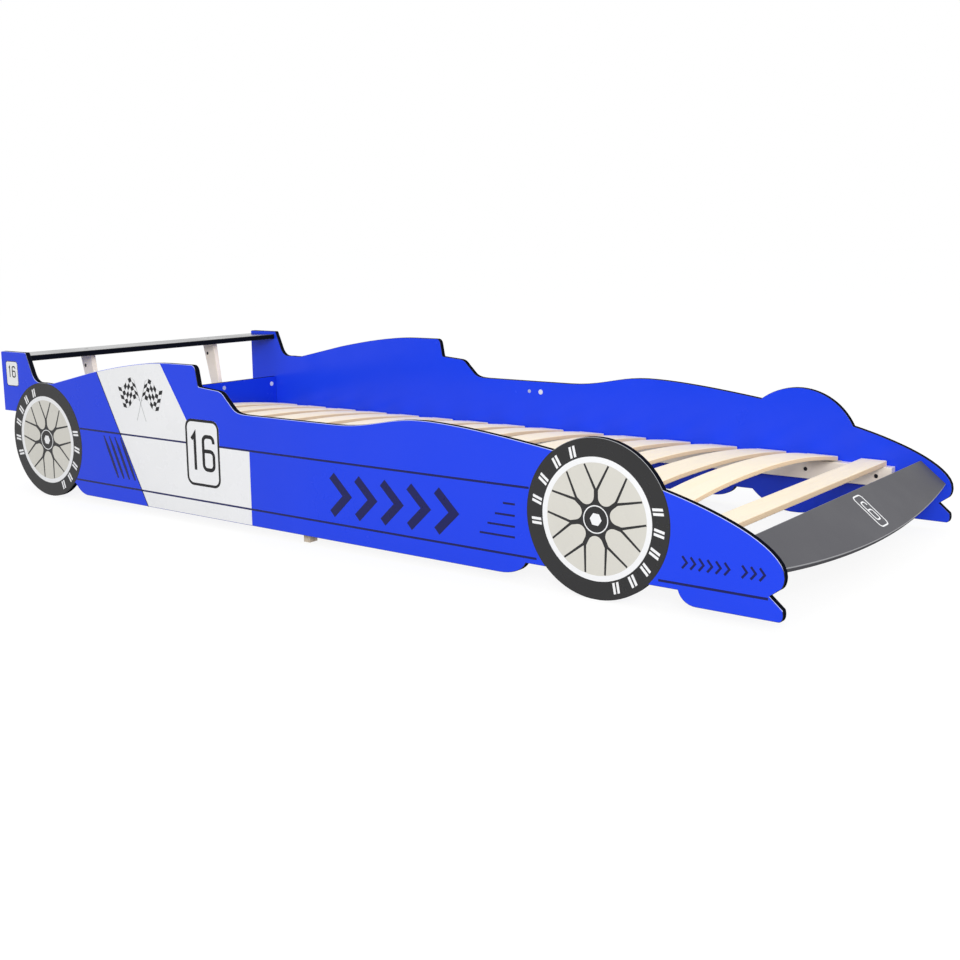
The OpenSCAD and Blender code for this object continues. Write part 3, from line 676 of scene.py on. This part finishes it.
class Print:
    """A flat print, drawn in station and height. It is made on both side panels' outer faces."""

    def __init__(self, name, material, slot, layer, sides=(-1, 1)):
        self.name = name
        self.material = material
        self.slot = slot
        self.layer = layer
        self.sides = sides
        self.shape = bmesh.new()

    def place(self, point, off, side):
        return Vector((REAR_X + point[0] * MM, side * (OUTER_Y + off * MM), point[1] * MM))

    def corners(self, points, side):
        """The points on the print's lower and upper face."""
        return [[self.shape.verts.new(self.place(point, off, side)) for point in points]
                for off in self.layer]

    def fill(self, outline):
        """A solid shape with that outline."""
        for side in self.sides:
            low, high = self.corners(outline, side)
            self.shape.faces.new(low)
            self.shape.faces.new(high)
            for i in range(len(outline)):
                self.shape.faces.new((low[i - 1], low[i], high[i], high[i - 1]))

    def line(self, points, width, closed=False):
        """A line of that width, or of a width for each point, through the points with mitred corners."""
        widths = width if isinstance(width, (list, tuple)) else [width] * len(points)
        left, right = offset_line(points, widths, closed)
        if not closed:
            self.fill(left + right[::-1])
            return
        for side in self.sides:
            rows = self.corners(left, side) + self.corners(right, side)
            for i in range(len(points)):
                for a, b in ((0, 1), (1, 3), (3, 2), (2, 0)):
                    self.shape.faces.new((rows[a][i - 1], rows[a][i], rows[b][i], rows[b][i - 1]))

    def finish(self, *replaced):
        bmesh.ops.recalc_face_normals(self.shape, faces=self.shape.faces)
        mesh = bpy.data.meshes.new(self.name)
        self.shape.to_mesh(mesh)
        self.shape.free()
        piece = link_piece(self.name, mesh, [self.material])
        if replaced:
            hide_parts(*replaced)


class SlopePrint(Print):
    """A print on the nose board: its first number runs down the slope, and its second along Y."""

    def place(self, point, off, side):
        down, across = point
        station = NOSE_START[0] + down * math.cos(NOSE_SLOPE) + off * math.sin(NOSE_SLOPE)
        height = NOSE_START[1] - down * math.sin(NOSE_SLOPE) + off * math.cos(NOSE_SLOPE)
        return Vector((REAR_X + station * MM, across * MM, height * MM))


def offset_line(points, widths, closed):
    """The left and right side of a line through the points."""
    left, right = [], []
    count = len(points)
    for i, point in enumerate(points):
        here = Vector(point)
        runs = []
        if closed or i > 0:
            runs.append((here - Vector(points[i - 1])).normalized())
        if closed or i < count - 1:
            runs.append((Vector(points[(i + 1) % count]) - here).normalized())
        sideways = [Vector((-run.y, run.x)) for run in runs]
        across = sum(sideways, Vector((0, 0))).normalized()
        reach = widths[i] / 2 / across.dot(sideways[0])
        left.append(tuple(here + across * reach))
        right.append(tuple(here - across * reach))
    return left, right


def arc(centre, radius, start, end, steps):
    """Points on a circle. The angles are clockwise from straight up."""
    angles = [math.radians(start + (end - start) * i / steps) for i in range(steps + 1)]
    return [(centre[0] + radius * math.sin(a), centre[1] + radius * math.cos(a)) for a in angles]


def circle(centre, radius, count, start=0):
    return arc(centre, radius, start, start + 360 - 360 / count, count - 1)


def rounded_box(centre, size, corner):
    points = []
    for turn, (right, up) in enumerate(((1, 1), (1, -1), (-1, -1), (-1, 1))):
        middle = (centre[0] + right * (size[0] / 2 - corner), centre[1] + up * (size[1] / 2 - corner))
        points += arc(middle, corner, 90 * turn, 90 * turn + 90, 6)
    return points


def turned(points, centre, angle):
    """Points given from a centre, turned clockwise about it."""
    a = math.radians(angle)
    return [(centre[0] + x * math.cos(a) + z * math.sin(a), centre[1] - x * math.sin(a) + z * math.cos(a))
            for x, z in points]


def make_wheels():
    spokes = Print("wheel_spokes", TYRE_INK, "dark_foil", RING_LAYER)
    rings = Print("wheel_rings", WHITE_INK, "white_foil", RING_LAYER)
    hubs = Print("wheel_hub_marks", WHITE_INK, "white_foil", MARK_LAYER)
    ring_radius, ring_width = 0.73 * WHEEL_RADIUS, 0.07 * WHEEL_RADIUS
    hub_radius, hub_width = 0.168 * WHEEL_RADIUS, 0.014 * WHEEL_RADIUS
    nut_radius = 0.083 * WHEEL_RADIUS
    for station in WHEEL_STATIONS:
        centre = (station, WHEEL_HEIGHT)
        spokes.fill(spoke_outline(centre))
        rings.line(circle(centre, ring_radius, 144), ring_width, closed=True)
        hubs.line(circle(centre, hub_radius, 48), hub_width, closed=True)
        hubs.fill(circle(centre, nut_radius, 6, start=95))
    spokes.finish("spoke_foils")
    rings.finish()
    hubs.finish()


def make_tyre_marks():
    """Pairs of leaning bars round the tyres, where the tyres are printed."""
    marks = Print("tyre_marks", WHITE_INK, "white_foil", RING_LAYER)
    inner_end, outer_end = 120, 141
    width, lean = 5.2, 3.2
    rear_angles = (-110, -92, -73, -56, -39, -21, 78, 97, 117, 135, 152)
    front_angles = (-98, -80, -61, -41, -23, 77, 94, 111, 127, 143, 160)
    for station, angles in zip(WHEEL_STATIONS, (rear_angles, front_angles)):
        for angle in angles:
            for left in (-width - lean, 0):
                right = left + width
                bar = [(left, inner_end), (right, inner_end)]
                bar += [(right + lean, outer_end), (left + lean, outer_end)]
                marks.fill(turned(bar, (station, WHEEL_HEIGHT), angle))
    marks.finish()


def spoke_outline(centre):
    """Seven spokes that fork towards the rim, with round-ended openings between them."""
    count = 7
    half_stem, half_root, half_tip = 4.4, 2.6, 1.9
    fork = 52.0
    tip = Vector((25.5, 101.4))
    opening = 47.0
    run = (tip - Vector((0, fork))).normalized()
    away = Vector((run.y, -run.x))
    outer_root = Vector((0, fork)) + away * half_root
    shoulder = outer_root + run * (half_stem - outer_root.x) / run.x
    notch = Vector((0, fork + half_root / run.x))
    half_turn = 180 / count
    spread = 90 - half_turn
    opening_radius = opening * math.sin(math.radians(half_turn)) - half_stem
    side = [shoulder, tip + away * half_tip, tip - away * half_tip, notch]
    spoke = [(-p.x, p.y) for p in side] + [(p.x, p.y) for p in reversed(side[:3])]
    points = []
    for i in range(count):
        angle = 360 * i / count
        inward = angle + half_turn + 180
        middle = turned([(0, opening)], centre, angle + half_turn)[0]
        points += turned(spoke, centre, angle)
        points += arc(middle, opening_radius, inward + spread, inward - spread, 12)
    return points


def make_lines():
    """Pinstripes along the sides, a line on the white stripe's rear rim, speed lines and slanted vents."""
    navy = Print("pinstripes", NAVY_INK, "dark_foil", LINE_LAYER)
    upper, lower, pinstripe_width = 194, 58, 4.4
    for start, end, height in ((335.5, 1738, upper), (300, 1756, lower), (2016, 2222, lower)):
        navy.line([(start, height), (end, height)], pinstripe_width)
    stripe_rim, rim_width = [(421.4, 345), (598.4, 19)], 3.0
    navy.line(stripe_rim, rim_width)
    speed_end, speed_width = 1706, 4.0
    for start, height in ((1678, 158), (1659, 135.5), (1641, 114), (1622, 93)):
        navy.line([(start, height), (speed_end, height)], speed_width)
    vent, vent_widths = [(0, 184), (14, 156), (38, 106), (50, 80)], [3, 9, 9, 5]
    for start in (435.5, 457.5, 479.5, 502):
        navy.line([(start + run, height) for run, height in vent], vent_widths)
    navy.finish()


def make_chevrons():
    """Plain arrow heads that point to the nose, where the side is printed."""
    chevrons = Print("side_chevrons", NAVY_INK, "dark_foil", LINE_LAYER)

    def arrow_head(start, height, reach, half_height, width):
        tip = (start + reach, height)
        chevrons.line([(start, height + half_height), tip, (start, height - half_height)], width)

    for i in range(5):
        arrow_head(start=1226 + 72 * i, height=122, reach=44, half_height=42, width=19)
    for i in (0, 1, 2, 3, 4, 5, 7, 8, 9):
        arrow_head(start=2062 + 16 * i, height=98, reach=9, half_height=11, width=4.2)
    chevrons.finish()


def flag_checks():
    """Dark cells of a waving flag, and its border, in millimetres from where the poles cross."""
    columns, rows = 6, 5
    top = [(-85.5, 41.5), (-72.8, 39.6), (-62.3, 43.6), (-53.9, 53.2), (-45.1, 62.9), (-34.4, 66.9),
           (-22.0, 61.0)]
    down = (3.75, -10.0)

    def corner(column, row):
        return (top[column][0] + down[0] * row, top[column][1] + down[1] * row)

    cells = [[corner(c, r), corner(c + 1, r), corner(c + 1, r + 1), corner(c, r + 1)]
             for c in range(columns) for r in range(rows) if (c + r) % 2 == 0]
    border = top + [corner(column, rows) for column in reversed(range(columns + 1))]
    return cells, border


def make_flags():
    checks = Print("flag_checks", BLACK_INK, "dark_foil", RING_LAYER)
    poles = Print("flag_poles", GREY_INK, "rim_foil", RING_LAYER)
    crossing = (591.0, 272.0)
    cells, border = flag_checks()
    border_width = 0.9
    pole, pole_widths = [(-22.0, 61.0), (-3.0, 12.0), (1.5, 0.0), (17.0, -38.5)], [1.2, 2.4, 2.4, 2.4]

    def placed(points, mirror):
        return [(crossing[0] + mirror * x, crossing[1] + z) for x, z in points]

    for mirror in (1, -1):
        for cell in cells:
            checks.fill(placed(cell, mirror))
        poles.line(placed(border, mirror), border_width, closed=True)
        poles.line(placed(pole, mirror), pole_widths)
    checks.finish()
    poles.finish()


def digit_one(left, bottom, height):
    stem = left + height * 0.13
    top = bottom + height
    return [(left, top - height * 0.16), (stem, top - 1), (stem, bottom)]


def digit_six(left, bottom, width, height):
    """A six whose line starts at its upper end."""
    corner = width * 0.34
    right, top = left + width, bottom + height
    bowl = bottom + height * 0.56
    points = [(right, top - height * 0.2)]
    points += arc((right - corner, top - corner), corner, 90, 0, 5)
    points += arc((left + corner, top - corner), corner, 0, -90, 5)
    points += arc((left + corner, bottom + corner), corner, -90, -180, 5)
    points += arc((right - corner, bottom + corner), corner, 180, 90, 5)
    points += arc((right - corner, bowl - corner), corner, 90, 0, 5)
    return points + [(left + width * 0.12, bowl)]


def plate_border(name, plate, ink, width):
    """A line of that width along a plate's rim, within it."""
    centre, size, corner = plate
    border = Print(name, ink, "dark_foil", MARK_LAYER)
    middle_line = rounded_box(centre, (size[0] - width, size[1] - width), corner - width / 2)
    border.line(middle_line, width, closed=True)
    border.finish()


def make_numbers():
    """Number plates with plain numbers. The number reads from left to right on both sides of the bed."""
    plates = Print("number_plates", WHITE_INK, "white_foil", PLATE_LAYER)
    plates.fill(rounded_box(*SIDE_PLATE))
    plates.fill(rounded_box(*WING_PLATE))
    plates.finish("number_foils")
    plate_border("plate_frames", SIDE_PLATE, BLACK_INK, 6.4)
    plate_border("wing_plate_borders", WING_PLATE, NAVY_INK, 2.0)
    side_digits = (digit_one(left=-38, bottom=-42, height=87),
                   digit_six(left=2.5, bottom=-38.5, width=36, height=79))
    wing_digits = (digit_one(left=-14, bottom=-10, height=30),
                   digit_six(left=1.5, bottom=-9, width=13, height=28))
    side_stroke, wing_stroke = 9.0, 3.6
    for name, side in SIDES.items():
        numbers = Print(name + "_numbers", BLACK_INK, "dark_foil", MARK_LAYER, sides=(side,))
        for plate, digits, stroke in ((SIDE_PLATE, side_digits, side_stroke),
                                      (WING_PLATE, wing_digits, wing_stroke)):
            centre = plate[0]
            for digit in digits:
                numbers.line([(centre[0] - side * x, centre[1] + z) for x, z in digit], stroke)
        numbers.finish()


def make_nose_mark():
    """A white frame with a plain number on the nose board, to be read from the front."""
    mark = SlopePrint("nose_mark", WHITE_INK, "white_foil", PLATE_LAYER, sides=(1,))
    centre, size, corner = (53.5, 17.0), (79, 40), 9
    frame_width, stroke = 3.2, 3.4
    six = digit_six(left=-9, bottom=-23, width=18, height=46)
    mark.line(rounded_box(centre, size, corner), frame_width, closed=True)
    mark.line([(centre[0] - z, centre[1] + x) for x, z in six], stroke)
    mark.finish()


make_camera()
make_floor()
make_light()
dress_nodes()
make_boards()
make_wheels()
make_tyre_marks()
make_lines()
make_chevrons()
make_flags()
make_numbers()
make_nose_mark()

bpy.context.scene.view_settings.view_transform = "Standard"
bpy.context.view_layer.update()
